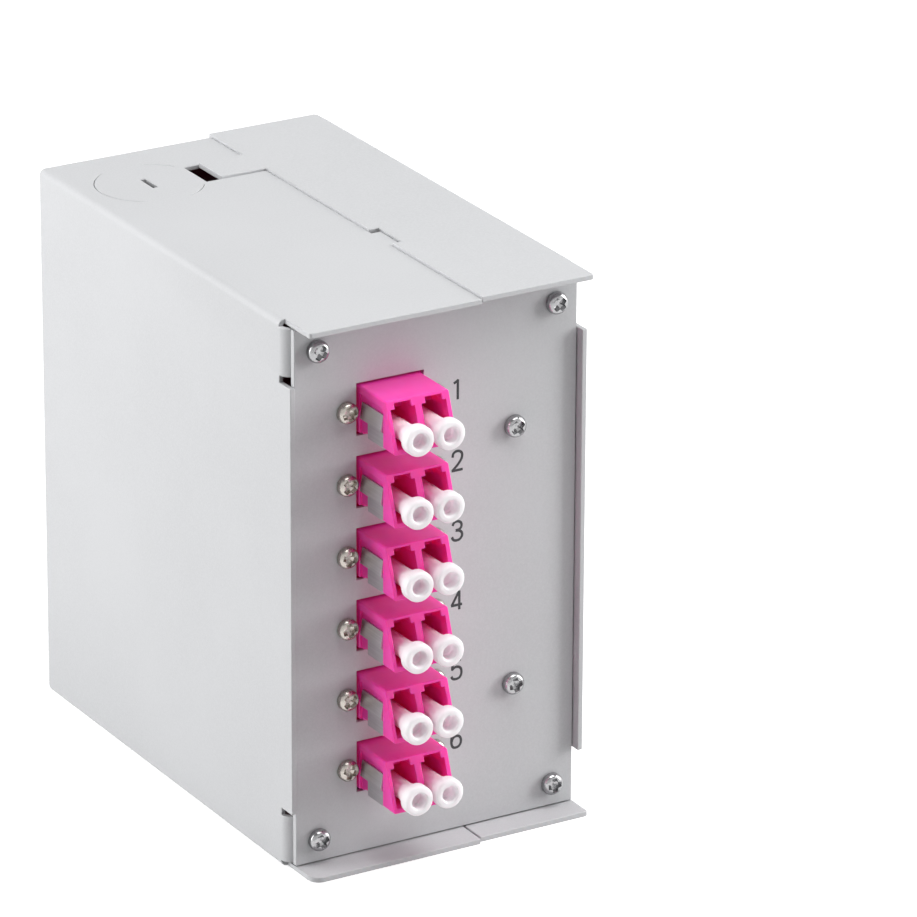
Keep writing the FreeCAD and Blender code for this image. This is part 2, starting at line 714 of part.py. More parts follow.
# Rail clip screws and nuts
rail_screws = []
rail_nuts = []
rail_nut_y = back - sheet
for x in rail_screw_places:
    face = V(x, plate_face, rail_screw_z)
    neck = face - V(0, rail_head_height, 0)
    shank_radius = rail_screw_diameter / 2
    screw = Part.makeCone(shank_radius, rail_head_diameter / 2, rail_head_height, neck, V(0, 1, 0))
    shank_end = V(x, rail_nut_y - rail_nut_height - rail_screw_tail, rail_screw_z)
    screw = joined(screw, [rod(shank_radius, shank_end, neck)])
    socket = hex_rod(rail_socket_flats, face - V(0, rail_socket_depth, 0), face + V(0, 1, 0))
    rail_screws.append(screw.cut(socket))
    nut_seat = V(x, rail_nut_y, rail_screw_z)
    nut = hex_rod(rail_nut_flats, nut_seat - V(0, rail_nut_height, 0), nut_seat)
    rail_nuts.append(nut.cut(through_y(x, rail_screw_z, rail_screw_diameter + thread_gap, front, back)))


# Rail spring: one wire bent in a plane, held under the hook by its middle
def bent_wire(points, radius, bend):
    """Round wire along straight runs joined by tangent arcs."""
    parts = []
    start = points[0]
    for before, here, after in zip(points, points[1:], points[2:]):
        back_way = (before - here).normalize()
        on_way = (after - here).normalize()
        half_angle = back_way.getAngle(on_way) / 2
        reach = bend / math.tan(half_angle)
        enter = here + back_way * reach
        leave = here + on_way * reach
        bisector = (back_way + on_way).normalize()
        middle = here + bisector * (bend / math.sin(half_angle) - bend)
        parts.append(Part.LineSegment(start, enter).toShape())
        parts.append(Part.Arc(enter, middle, leave).toShape())
        start = leave
    parts.append(Part.LineSegment(start, points[-1]).toShape())
    path = Part.Wire(parts)
    ring = Part.Wire(Part.makeCircle(radius, points[0], points[1] - points[0]))
    return path.makePipeShell([ring], True, True)


wire_y = plate_face + wire_gap + wire_diameter / 2
root_z = lip_low - wire_root_drop
wire_points = [
    V(wire_leg_plus + wire_tip_plus, wire_y, root_z - wire_leg_plus_drop + wire_tip_plus_rise),
    V(wire_leg_plus, wire_y, root_z - wire_leg_plus_drop),
    V(wire_root_half, wire_y, root_z),
    V(wire_yoke_half, wire_y, lip_low + wire_yoke_rise),
    V(-wire_yoke_half, wire_y, lip_low + wire_yoke_rise),
    V(-wire_root_half, wire_y, root_z),
    V(-wire_leg_minus, wire_y, root_z - wire_leg_minus_drop),
    V(-wire_leg_minus - wire_tip_minus, wire_y, root_z - wire_leg_minus_drop + wire_tip_minus_rise),
]
rail_spring = bent_wire(wire_points, wire_diameter / 2, wire_bend)

# Tray bracket: angle behind the front panel that carries the splice tray
web_x0 = bracket_screw_x - bracket_flange_half
web_x1 = web_x0 + bracket_sheet
flange_low = bracket_screw_heights[0] - bracket_flange_margin
flange_high = bracket_screw_heights[1] + bracket_flange_margin
web_back = back - bracket_rear_gap
web_low = bracket_end_margin
web_high = height - bracket_end_margin
bracket_flange_y = panel_back + bracket_sheet
flange_end = bracket_screw_x + bracket_flange_half
bracket = block(web_x0, flange_end, panel_back, bracket_flange_y, flange_low, flange_high)
strip_end = panel_back + tray_front_gap
bracket = joined(bracket, [block(web_x0, web_x1, panel_back, strip_end, flange_low, flange_high)])
bracket = bracket.makeFillet(bend_inside + bracket_sheet, edges_at(bracket, x=web_x0, y=panel_back))
bracket = bracket.makeFillet(bend_inside, edges_at(bracket, x=web_x1, y=bracket_flange_y))
bracket = joined(bracket, [block(web_x0, web_x1, strip_end, web_back, web_low, web_high)])
for z in bracket_screw_heights:
    bracket = bracket.cut(through_y(bracket_screw_x, z, case_screw_diameter + thread_gap, front, strip_end))
tray_inner_y0 = strip_end + tray_rear_margin + tray_wall
tray_inner_y1 = web_back - tray_rear_margin - tray_wall
tray_inner_z0 = web_low + tray_end_margin + tray_wall
tray_inner_z1 = web_high - tray_end_margin - tray_wall
tray_middle_y = (tray_inner_y0 + tray_inner_y1) / 2
tray_screw_places = []
for y in (tray_inner_y0 + tray_screw_inset, tray_inner_y1 - tray_screw_inset):
    for z in (tray_inner_z0 + tray_screw_inset, tray_inner_z1 - tray_screw_inset):
        tray_screw_places.append((y, z))
for y, z in tray_screw_places:
    hole = rod((tray_screw_diameter + clearance_hole) / 2, V(web_x0 - 1, y, z), V(web_x1 + 1, y, z))
    bracket = bracket.cut(hole)


# Splice tray: shallow moulded tray with a winding spool, guide tabs and a lid
def rounded_slab(x0, x1, inset, corner):
    """Slab across X over the tray's outline, drawn in by an inset, with round corners."""
    y0 = strip_end + tray_rear_margin + inset
    y1 = web_back - tray_rear_margin - inset
    z0 = web_low + tray_end_margin + inset
    z1 = web_high - tray_end_margin - inset
    slab = block(x0, x1, y0, y1, z0, z1)
    upright = [e for e in slab.Edges if abs(e.Vertexes[0].X - e.Vertexes[1].X) > 1e-6]
    return slab.makeFillet(corner, upright)


tray_x1 = web_x1 + tray_depth
floor_x = web_x1 + tray_floor
tray = rounded_slab(web_x1, tray_x1, 0, tray_corner)
tray = tray.cut(rounded_slab(floor_x, tray_x1 + 1, tray_wall, tray_corner - tray_wall))
holder_z1 = tray_inner_z1 - tray_guide_reach - holder_guide_gap
holder_z0 = holder_z1 - holder_width
spool_radius = (holder_z0 - holder_gap - tray_inner_z0 - tray_spool_margin) / 2
spool_z = tray_inner_z0 + tray_spool_margin + spool_radius
spool_foot = V(floor_x, tray_middle_y, spool_z)
ring = Part.makeCylinder(spool_radius, tray_spool_rise, spool_foot, V(1, 0, 0))
core = Part.makeCylinder(spool_radius - tray_wall, tray_spool_rise, spool_foot, V(1, 0, 0))
features = [ring.cut(core)]
guide_x0 = tray_x1 - 2 * tray_guide_sheet
guide_x1 = tray_x1 - tray_guide_sheet
half_guide = tray_guide_length / 2
for side in (-1, 1):
    guide_z = tray_inner_z0 if side < 0 else tray_inner_z1
    guide_end = guide_z - side * tray_guide_reach
    features.append(block(guide_x0, guide_x1, tray_middle_y - half_guide, tray_middle_y + half_guide,
                          guide_z, guide_end))
    guide_y = tray_inner_y0 if side < 0 else tray_inner_y1
    guide_end = guide_y - side * tray_guide_reach
    features.append(block(guide_x0, guide_x1, guide_y, guide_end,
                          middle_z - half_guide, middle_z + half_guide))
tray = joined(tray, features)
for y, z in tray_screw_places:
    hole = rod((tray_screw_diameter + clearance_hole) / 2, V(web_x1 - 1, y, z), V(floor_x + 1, y, z))
    tray = tray.cut(hole)
tray_cover = rounded_slab(tray_x1, tray_x1 + tray_lid, 0, tray_corner)

# Splice holder: comb of ribs on the tray's floor above the spool
holder_y0 = tray_middle_y - holder_length / 2
holder_y1 = holder_y0 + holder_length
holder = block(floor_x, floor_x + holder_base, holder_y0, holder_y1, holder_z0, holder_z1)
rib_step = (holder_width - holder_rib_sheet) / holder_slots
ribs = []
for i in range(holder_slots + 1):
    rib_z = holder_z0 + i * rib_step
    rib_top = floor_x + holder_base + holder_rib_height
    ribs.append(block(floor_x, rib_top, holder_y0, holder_y1, rib_z, rib_z + holder_rib_sheet))
holder = joined(holder, ribs)

# Tray screws and nuts
tray_screws = []
tray_nuts = []
for y, z in tray_screw_places:
    seat = V(floor_x, y, z)
    tail = V(web_x0 - tray_nut_height - tray_screw_tail, y, z)
    head = rod(tray_screw_head / 2, seat, seat + V(tray_screw_head_height, 0, 0))
    tray_screws.append(joined(head, [rod(tray_screw_diameter / 2, tail, seat)]))
    nut = hex_rod(tray_nut_flats, V(0, 0, 0), V(0, tray_nut_height, 0))
    nut = nut.cut(through_y(0, 0, tray_screw_diameter + thread_gap, -1, tray_nut_height + 1))
    nut.rotate(V(0, 0, 0), V(0, 0, 1), 90)
    nut.translate(V(web_x0, y, z))
    tray_nuts.append(nut)

nodes = {
    "housing_shell": [housing],
    "cover_shell": [cover],
    "front_panel": [front_panel],
    "front_panel_screws": front_screws,
    "tray_bracket_screws": bracket_screws,
    "rear_cover_screws": rear_screws,
    "adapter_screws": adapter_screws,
    "adapter_nuts": adapter_nuts,
    "sleeve_holders": holder_tubes,
    "alignment_sleeves": sleeves,
    "rail_clip": [rail_clip],
    "rail_spring": [rail_spring],
    "rail_clip_screws": rail_screws,
    "rail_clip_nuts": rail_nuts,
    "tray_bracket": [bracket],
    "splice_tray": [tray],
    "splice_tray_lid": [tray_cover],
    "splice_holder": [holder],
    "tray_screws": tray_screws,
    "tray_nuts": tray_nuts,
}
for i, z in enumerate(adapter_heights):
    nodes["lc_adapter_%d" % (i + 1)] = [adapters[i]]
    nodes["adapter_clip_%d" % (i + 1)] = [clips[i]]
    for side, letter in ((-1, "a"), (1, "b")):
        port_x = adapter_x + side * port_pitch / 2
        nodes["dust_cap_%d%s" % (i + 1, letter)] = [dust_cap(port_x, z - port_drop)]

os.makedirs("parts", exist_ok=True)
for name, solids in nodes.items():
    shape = solids[0] if len(solids) == 1 else Part.makeCompound(solids)
    if not shape.isValid():
        raise ValueError("invalid shape in " + name)
    shape.exportStep("parts/" + name + ".step")
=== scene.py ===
from itertools import combinations
import math

import bmesh
import bpy
from mathutils import Matrix, Vector


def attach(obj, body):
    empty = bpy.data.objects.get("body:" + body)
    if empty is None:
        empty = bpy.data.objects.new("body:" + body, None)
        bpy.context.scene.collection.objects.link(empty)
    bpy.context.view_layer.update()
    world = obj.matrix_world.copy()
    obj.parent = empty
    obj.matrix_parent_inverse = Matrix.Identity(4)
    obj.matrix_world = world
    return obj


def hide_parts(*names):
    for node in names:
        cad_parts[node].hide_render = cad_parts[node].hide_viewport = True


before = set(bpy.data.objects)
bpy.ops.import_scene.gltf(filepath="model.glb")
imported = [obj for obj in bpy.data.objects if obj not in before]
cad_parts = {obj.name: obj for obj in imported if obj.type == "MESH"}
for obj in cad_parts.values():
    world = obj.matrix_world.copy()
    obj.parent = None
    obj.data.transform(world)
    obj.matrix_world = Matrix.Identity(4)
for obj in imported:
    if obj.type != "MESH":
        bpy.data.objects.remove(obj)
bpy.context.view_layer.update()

# Housing shell. One blank of 1 mm steel sheet, punched and then folded into the left wall, the back
# and the left part of the top and bottom plates. It is powder coated after folding, so the coat runs
# round every cut edge and softens it.
MM = 0.001
COAT_EDGE = 0.16 * MM
COAT_COLOURS = ("C6C7C9", "C0C1C3")
COAT_ROUGH_LOW = 0.44
COAT_ROUGH_HIGH = 0.60
COAT_IOR = 1.5
COAT_CLOUD = 38.0 * MM
COAT_PEEL = 1.3 * MM
COAT_PEEL_DEPTH = 0.02 * MM
COAT_GRIT = 0.32 * MM
COAT_GRIT_DEPTH = 0.012 * MM
COAT_BUMP = 0.5
MOTTLE_LOW = 0.12
MOTTLE_HIGH = 0.4
WELD = 0.0005 * MM
FLAT = math.radians(0.4)
SHARP_FROM = math.radians(34.0)
ACUTE = math.cos(math.radians(40.0))
EDGE_SEGMENTS = 2


def linear(hex_colour):
    """Linear colour of an sRGB hex value."""
    parts = [int(hex_colour[i:i + 2], 16) / 255 for i in (0, 2, 4)]
    return [p / 12.92 if p <= 0.04045 else ((p + 0.055) / 1.055) ** 2.4 for p in parts] + [1.0]


def add_node(tree, kind, inputs=None, **settings):
    """Adds a node, applies its settings, and gives each named input a value or a link."""
    made = tree.nodes.new(kind)
    for key, value in settings.items():
        setattr(made, key, value)
    for key, value in (inputs or {}).items():
        if isinstance(value, bpy.types.NodeSocket):
            tree.links.new(value, made.inputs[key])
        else:
            made.inputs[key].default_value = value
    return made


def new_finish(name, even=None):
    """New material with its shader, given its even values, and the Object coordinates of the piece."""
    material = bpy.data.materials.new(name)
    material.use_nodes = True
    tree = material.node_tree
    tree.nodes.clear()
    shader = add_node(tree, "ShaderNodeBsdfPrincipled", even)
    add_node(tree, "ShaderNodeOutputMaterial", {"Surface": shader.outputs["BSDF"]})
    place = add_node(tree, "ShaderNodeTexCoord").outputs["Object"]
    return material, tree, shader, place


def two_toned(tree, shader, pattern, colours, rough=None):
    """Lets a pattern run between two colours and, where they are given, between two roughnesses."""
    light, dark = (linear(colour) for colour in colours)
    tone = add_node(tree, "ShaderNodeMix", {"Factor": pattern, "A": light, "B": dark}, data_type="RGBA")
    tree.links.new(tone.outputs["Result"], shader.inputs["Base Color"])
    if rough:
        low, high = rough
        sheen = add_node(tree, "ShaderNodeMapRange", {"Value": pattern, "To Min": low, "To Max": high})
        tree.links.new(sheen.outputs[0], shader.inputs["Roughness"])


def in_scene(name, data):
    """New object at the origin, linked into the scene."""
    thing = bpy.data.objects.new(name, data)
    bpy.context.scene.collection.objects.link(thing)
    return thing


def softened(cad_name, piece_name, round_edge):
    """Merged copy of a CAD node with a small round on its outer edges, save where two meet too sharply."""
    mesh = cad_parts[cad_name].data.copy()
    mesh.name = piece_name
    mesh.materials.clear()
    shape = bmesh.new()
    shape.from_mesh(mesh)
    bmesh.ops.remove_doubles(shape, verts=shape.verts, dist=WELD)
    bmesh.ops.dissolve_limit(shape, angle_limit=FLAT, verts=shape.verts, edges=shape.edges)
    outer = shape.edges.layers.float.new("bevel_weight_edge")
    sharp = {e for e in shape.edges if e.is_convex and e.calc_face_angle(0.0) > SHARP_FROM}
    for corner in shape.verts:
        edges = [e for e in corner.link_edges if e in sharp]
        ways = [(e.other_vert(corner).co - corner.co).normalized() for e in edges]
        if any(a.dot(b) > ACUTE for a, b in combinations(ways, 2)):
            sharp.difference_update(edges)
    for edge in sharp:
        edge[outer] = 1.0
    for face in shape.faces:
        face.smooth = True
    shape.to_mesh(mesh)
    shape.free()
    if "custom_normal" in mesh.attributes:
        mesh.attributes.remove(mesh.attributes["custom_normal"])
    mesh.set_sharp_from_angle(angle=SHARP_FROM)
    piece = in_scene(piece_name, mesh)
    bevel = piece.modifiers.new("soft_edges", "BEVEL")
    bevel.width = round_edge
    bevel.segments = EDGE_SEGMENTS
    bevel.limit_method = "WEIGHT"
    bevel.use_clamp_overlap = False
    bevel.loop_slide = False
    bevel.harden_normals = True
    return piece


def finish_piece(piece, material, body, slot, *nodes):
    """Gives a piece its material and its body, and hides the CAD nodes that it stands for. Its slot is not
    used.
    """
    piece.data.materials.clear()
    piece.data.materials.append(material)
    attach(piece, body)
    if nodes:
        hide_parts(*nodes)


# Polyester powder coat, sprayed and baked: matt, faintly clouded, with a low orange peel. The grit
# is drawn about three times coarser than the real one so that it shows.
powder_coat, tree, shader, place = new_finish("polyester_powder_coat_baked", {"IOR": COAT_IOR})
cloud = add_node(tree, "ShaderNodeTexNoise", {"Vector": place, "Scale": 1 / COAT_CLOUD, "Detail": 3.0})
grit = add_node(tree, "ShaderNodeTexNoise", {"Vector": place, "Scale": 1 / COAT_GRIT, "Detail": 1.0})
peel = add_node(tree, "ShaderNodeTexNoise", {"Vector": place, "Scale": 1 / COAT_PEEL, "Detail": 1.0})
mottle = add_node(tree, "ShaderNodeMath", {0: cloud.outputs["Fac"], 1: grit.outputs["Fac"]},
                  operation="MULTIPLY")
mottle = add_node(tree, "ShaderNodeMapRange", {"Value": mottle.outputs[0], "From Min": MOTTLE_LOW,
                                               "From Max": MOTTLE_HIGH})
two_toned(tree, shader, mottle.outputs[0], COAT_COLOURS)
sheen = add_node(tree, "ShaderNodeMapRange", {"Value": grit.outputs["Fac"], "To Min": COAT_ROUGH_LOW,
                                              "To Max": COAT_ROUGH_HIGH})
waves = add_node(tree, "ShaderNodeBump", {"Height": peel.outputs["Fac"], "Strength": COAT_BUMP,
                                          "Distance": COAT_PEEL_DEPTH})
grains = add_node(tree, "ShaderNodeBump", {"Height": grit.outputs["Fac"], "Strength": COAT_BUMP,
                                           "Distance": COAT_GRIT_DEPTH, "Normal": waves.outputs[0]})
tree.links.new(sheen.outputs[0], shader.inputs["Roughness"])
tree.links.new(grains.outputs[0], shader.inputs["Normal"])

housing = softened("housing_shell", "coated_housing", COAT_EDGE)
finish_piece(housing, powder_coat, "box", "grey_powder_coat", "housing_shell")

# Rail clip. An aluminium profile, extruded and sawn to length, that hooks over a 35 mm rail. It has
# its satin die lines along the extrusion, and two countersunk screws hold it to the back.
CLIP_EDGE = 0.15 * MM
ALUMINIUM_COLOURS = ("DADCDF", "C6C8CC")
ALUMINIUM_ROUGH = (0.30, 0.48)
DIE_LINE = 0.35 * MM
DIE_LINE_RUN = 60.0 * MM
DIE_LINE_DEPTH = 0.01 * MM
DIE_LINE_BUMP = 0.4

# Extruded aluminium, satin anodised: fine lines along the profile, soft and bright reflections.
satin_aluminium, tree, shader, place = new_finish("aluminium_extruded_satin", {"Metallic": 1.0})
along = add_node(tree, "ShaderNodeMapping", {"Vector": place,
                                             "Scale": (1 / DIE_LINE_RUN, 1 / DIE_LINE, 1 / DIE_LINE)})
lines = add_node(tree, "ShaderNodeTexNoise", {"Vector": along.outputs[0], "Scale": 1.0, "Detail": 2.0})
two_toned(tree, shader, lines.outputs["Fac"], ALUMINIUM_COLOURS, ALUMINIUM_ROUGH)
marks = add_node(tree, "ShaderNodeBump", {"Height": lines.outputs["Fac"], "Strength": DIE_LINE_BUMP,
                                          "Distance": DIE_LINE_DEPTH})
tree.links.new(marks.outputs[0], shader.inputs["Normal"])

rail_clip = softened("rail_clip", "extruded_rail_clip", CLIP_EDGE)
finish_piece(rail_clip, satin_aluminium, "box", "satin_aluminium", "rail_clip")

# Rail spring. One length of drawn spring steel wire, bent cold, with its middle crimped under the
# hook of the profile so that its two legs press the rail down.
WIRE_EDGE = 0.12 * MM
WIRE_COLOURS = ("BBA481", "9A8567")
WIRE_ROUGH = (0.18, 0.30)
DRAW_MARK = 0.5 * MM

# Drawn spring steel with its bronze-tinted tempering film: smooth, with faint darker patches.
spring_wire, tree, shader, place = new_finish("spring_steel_drawn", {"Metallic": 1.0})
film = add_node(tree, "ShaderNodeTexNoise", {"Vector": place, "Scale": 1 / DRAW_MARK, "Detail": 3.0})
two_toned(tree, shader, film.outputs["Fac"], WIRE_COLOURS, WIRE_ROUGH)

rail_spring = softened("rail_spring", "bent_rail_spring", WIRE_EDGE)
finish_piece(rail_spring, spring_wire, "box", "spring_wire", "rail_spring")

# Rail clip screws and nuts. Countersunk socket screws of steel, turned and nickel plated, driven from
# outside into zinc plated nuts inside the back.
SOCKET_EDGE = 0.1 * MM
NICKEL_COLOURS = ("C6C0B9", "A39D96")
NICKEL_ROUGH = (0.22, 0.34)
TURNING = 0.18 * MM
ZINC_COLOURS = ("BABABB", "8F8F91")
ZINC_ROUGH = (0.18, 0.30)
ZINC_GRAIN = 0.3 * MM


def finish_nodes(material, *cad_names):
    """Gives CAD nodes that keep their own mesh their finish."""
    for cad_name in cad_names:
        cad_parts[cad_name].data.materials[0] = material


# Nickel plate on turned steel: warm grey, close to a mirror, with faint marks from the tool.
nickel_steel, tree, shader, place = new_finish("steel_turned_nickel_plated", {"Metallic": 1.0})
tool_marks = add_node(tree, "ShaderNodeTexNoise", {"Vector": place, "Scale": 1 / TURNING, "Detail": 1.0})
two_toned(tree, shader, tool_marks.outputs["Fac"], NICKEL_COLOURS, NICKEL_ROUGH)

rail_screws = softened("rail_clip_screws", "socket_rail_screws", SOCKET_EDGE)
finish_piece(rail_screws, nickel_steel, "box", "nickel_steel", "rail_clip_screws")

# Zinc plate on pressed steel: clear grey with a fine grain and sharp highlights.
zinc_steel, tree, shader, place = new_finish("steel_pressed_zinc_plated", {"Metallic": 1.0})
grain = add_node(tree, "ShaderNodeTexNoise", {"Vector": place, "Scale": 1 / ZINC_GRAIN, "Detail": 2.0})
two_toned(tree, shader, grain.outputs["Fac"], ZINC_COLOURS, ZINC_ROUGH)

finish_nodes(zinc_steel, "rail_clip_nuts")

# Splice tray group inside the box. A folded bracket of zinc plated sheet carries a moulded tray with
# a smoky clear lid and a splice holder, all bolted together.
TRAY_COLOURS = ("CFD1D1", "C6C8C8")
HOLDER_COLOURS = ("36373A", "2E2F32")
ABS_ROUGH = (0.40, 0.55)
LID_COLOURS = ("C9CED2", "BEC4C9")
LID_ROUGH = (0.12, 0.2)
LID_CLEAR = 0.8
LID_IOR = 1.58
FINE_GRAIN = 0.4 * MM
FINE_GRAIN_DEPTH = 0.01 * MM
FINE_GRAIN_BUMP = 0.4


def fine_grained(name, colours, rough, even=None):
    """Even colour with a fine grain in its gloss, as an eroded tool or a grinding wheel leaves it."""
    material, tree, shader, place = new_finish(name, even)
    grain = add_node(tree, "ShaderNodeTexNoise", {"Vector": place, "Scale": 1 / FINE_GRAIN, "Detail": 2.0})
    two_toned(tree, shader, grain.outputs["Fac"], colours, rough)
    pits = add_node(tree, "ShaderNodeBump", {"Height": grain.outputs["Fac"], "Strength": FINE_GRAIN_BUMP,
                                             "Distance": FINE_GRAIN_DEPTH})
    tree.links.new(pits.outputs[0], shader.inputs["Normal"])
    return material


# ABS moulded in a spark-eroded tool: an even colour with a fine grained, half matt gloss.
tray_plastic = fine_grained("abs_moulded_light_grey", TRAY_COLOURS, ABS_ROUGH)
holder_plastic = fine_grained("abs_moulded_black", HOLDER_COLOURS, ABS_ROUGH)

# Polycarbonate moulded in a smoother tool: clear with a smoky tint and sharp reflections.
lid_plastic = fine_grained("polycarbonate_moulded_smoky", LID_COLOURS, LID_ROUGH,
                           {"Transmission Weight": LID_CLEAR, "IOR": LID_IOR})

finish_nodes(zinc_steel, "tray_bracket", "tray_screws", "tray_nuts")
finish_nodes(tray_plastic, "splice_tray")
finish_nodes(holder_plastic, "splice_holder")
finish_nodes(lid_plastic, "splice_tray_lid")

# Duplex adapters. Six one-piece mouldings in pink-violet plastic, pushed through the panel from behind
# until the flange stops them, each with two ports at either end.
ADAPTER_COUNT = 6
ADAPTER_PITCH = 13.75 * MM
ADAPTER_X = -9.45 * MM
TOP_ADAPTER_Z = 86.675 * MM
ADAPTER_EDGE = 0.16 * MM
VIOLET_COLOURS = ("FA48B6", "F440AC")
VIOLET_ROUGH = (0.28, 0.40)
VIOLET_IOR = 1.5
VIOLET_SCATTER = 0.6
VIOLET_SCATTER_SPREAD = (1.0, 0.2, 0.3)
VIOLET_SCATTER_DEPTH = 1.5 * MM
# Painted red glow: the whole moulding emits a faint red light of its own, though it is no lamp, to lift its
# shade.
PAINTED_GLOW_COLOUR = "FF1A50"
PAINTED_GLOW_STRENGTH = 0.04
FLOW_MARK = 3.5 * MM
FLOW_SWIRL = 0.6

# PBT moulded in a polished tool: saturated, glossy, faintly translucent, with weak flow marks. A painted
# red glow, emitted all over the moulding though it is no lamp, keeps the ports red where their shade would
# be black.
violet_plastic, tree, shader, place = new_finish("pbt_moulded_glossy", {
    "IOR": VIOLET_IOR, "Subsurface Weight": VIOLET_SCATTER, "Subsurface Radius": VIOLET_SCATTER_SPREAD,
    "Subsurface Scale": VIOLET_SCATTER_DEPTH, "Emission Color": linear(PAINTED_GLOW_COLOUR),
    "Emission Strength": PAINTED_GLOW_STRENGTH})
flow = add_node(tree, "ShaderNodeTexNoise", {"Vector": place, "Scale": 1 / FLOW_MARK, "Detail": 2.0,
                                             "Distortion": FLOW_SWIRL})
two_toned(tree, shader, flow.outputs["Fac"], VIOLET_COLOURS, VIOLET_ROUGH)

for i in range(ADAPTER_COUNT):
    cad_name = "lc_adapter_%d" % (i + 1)
    adapter = softened(cad_name, "moulded_adapter_%d" % (i + 1), ADAPTER_EDGE)
    finish_piece(adapter, violet_plastic, "box", "violet_plastic", cad_name)

# Sleeve holders and alignment sleeves, in the middle of each port. The holder is a moulded tube of the
# adapter's plastic, and the sleeve in it is zirconia, ground to size.
CERAMIC_COLOURS = ("F0EFEA", "E6E5DF")
CERAMIC_ROUGH = (0.15, 0.25)

# Zirconia, fired and ground: dense white with a close, even gloss.
sleeve_ceramic = fine_grained("zirconia_ground_white", CERAMIC_COLOURS, CERAMIC_ROUGH)

finish_nodes(violet_plastic, "sleeve_holders")
finish_nodes(sleeve_ceramic, "alignment_sleeves")

# Adapter clips. A strip of stainless spring steel, folded under each adapter and up its sides, with a
# flared upper half on either side that springs out behind the window's edge.
STAINLESS_COLOURS = ("D6D3D5", "B9B6B9")
STAINLESS_ROUGH = (0.30, 0.45)
ROLLING = 0.25 * MM
ROLLING_RUN = 12.0 * MM

# Rolled stainless strip: grey, with fine lines along the roll.
clip_steel, tree, shader, place = new_finish("stainless_strip_rolled", {"Metallic": 1.0})
along = add_node(tree, "ShaderNodeMapping", {"Vector": place,
                                             "Scale": (1 / ROLLING, 1 / ROLLING_RUN, 1 / ROLLING)})
lines = add_node(tree, "ShaderNodeTexNoise", {"Vector": along.outputs[0], "Scale": 1.0, "Detail": 2.0})
two_toned(tree, shader, lines.outputs["Fac"], STAINLESS_COLOURS, STAINLESS_ROUGH)

for i in range(ADAPTER_COUNT):
    finish_nodes(clip_steel, "adapter_clip_%d" % (i + 1))

# Front panel. A flat plate of coated sheet, punched with the adapter windows and the screw holes, set
# between the folded plates and held by four corner screws.
front_panel = softened("front_panel", "coated_front_panel", COAT_EDGE)
finish_piece(front_panel, powder_coat, "box", "grey_powder_coat", "front_panel")

# Port numbers. Thin numerals of dark ink, silk-screened on the coated panel before it is fitted, one
# to the right of each adapter.
PANEL_FACE = -47.5 * MM
NUMERAL_HEIGHT = 3.65 * MM
NUMERAL_WIDTH = 2.15 * MM
NUMERAL_STROKE = 0.52 * MM
NUMERAL_X = 4.3 * MM
NUMERAL_DROP = 0.175 * MM
NUMERAL_PITCH = 13.5 * MM
STROKE_ROUND = 2
STROKE_STEPS = 6
INK_FILM = 0.03 * MM
INK_COLOURS = ("242427", "2F2F33")
INK_ROUGH = 0.6
SCREEN_MESH = 0.25 * MM

# Strokes of each numeral. A point has its shares of the width and height, and 1 where the stroke bends
# smoothly or 0 where it runs straight.
NUMERALS = {
    1: [[(0.12, 0.86, 0), (0.55, 1.0, 0)], [(0.5, 1.03, 0), (0.5, 0.0, 0)]],
    2: [[(0.03, 0.70, 1), (0.12, 0.91, 1), (0.48, 1.0, 1), (0.86, 0.90, 1), (0.94, 0.70, 1),
         (0.72, 0.42, 1), (0.0, 0.0, 0)], [(-0.06, 0.0, 0), (1.0, 0.0, 0)]],
    3: [[(0.06, 0.80, 1), (0.20, 0.95, 1), (0.48, 1.0, 1), (0.82, 0.92, 1), (0.92, 0.76, 1),
         (0.78, 0.59, 1), (0.36, 0.53, 0)],
        [(0.36, 0.53, 0), (0.80, 0.46, 1), (0.98, 0.27, 1), (0.82, 0.07, 1), (0.46, 0.0, 1),
         (0.14, 0.06, 1), (0.0, 0.22, 1)]],
    4: [[(0.74, 0.0, 0), (0.74, 1.0, 0)], [(0.74, 1.0, 0), (0.0, 0.26, 0)],
        [(-0.06, 0.26, 0), (1.0, 0.26, 0)]],
    5: [[(0.92, 1.0, 0), (0.12, 1.0, 0)], [(0.16, 1.04, 0), (0.08, 0.50, 0)],
        [(0.06, 0.51, 0), (0.28, 0.62, 1), (0.52, 0.65, 1), (0.86, 0.56, 1), (0.98, 0.33, 1),
         (0.84, 0.08, 1), (0.46, 0.0, 1), (0.14, 0.05, 1), (0.0, 0.18, 1)]],
    6: [[(0.90, 0.88, 1), (0.78, 0.97, 1), (0.56, 1.0, 1), (0.20, 0.86, 1), (0.04, 0.46, 1),
         (0.06, 0.22, 1), (0.22, 0.04, 1), (0.50, 0.0, 1), (0.82, 0.08, 1), (0.96, 0.30, 1),
         (0.84, 0.54, 1), (0.52, 0.62, 1), (0.20, 0.53, 1), (0.05, 0.32, 1)]],
}

# Screen ink on the coat: matt dark grey, a little thinner where the mesh lay.
screen_ink, tree, shader, place = new_finish("ink_silk_screened", {"Roughness": INK_ROUGH})
mesh_mark = add_node(tree, "ShaderNodeTexNoise", {"Vector": place, "Scale": 1 / SCREEN_MESH, "Detail": 1.0})
two_toned(tree, shader, mesh_mark.outputs["Fac"], INK_COLOURS)


def baked(thing):
    """Plain mesh of an object as its strokes or its modifiers make it."""
    graph = bpy.context.evaluated_depsgraph_get()
    return bpy.data.meshes.new_from_object(thing.evaluated_get(graph))


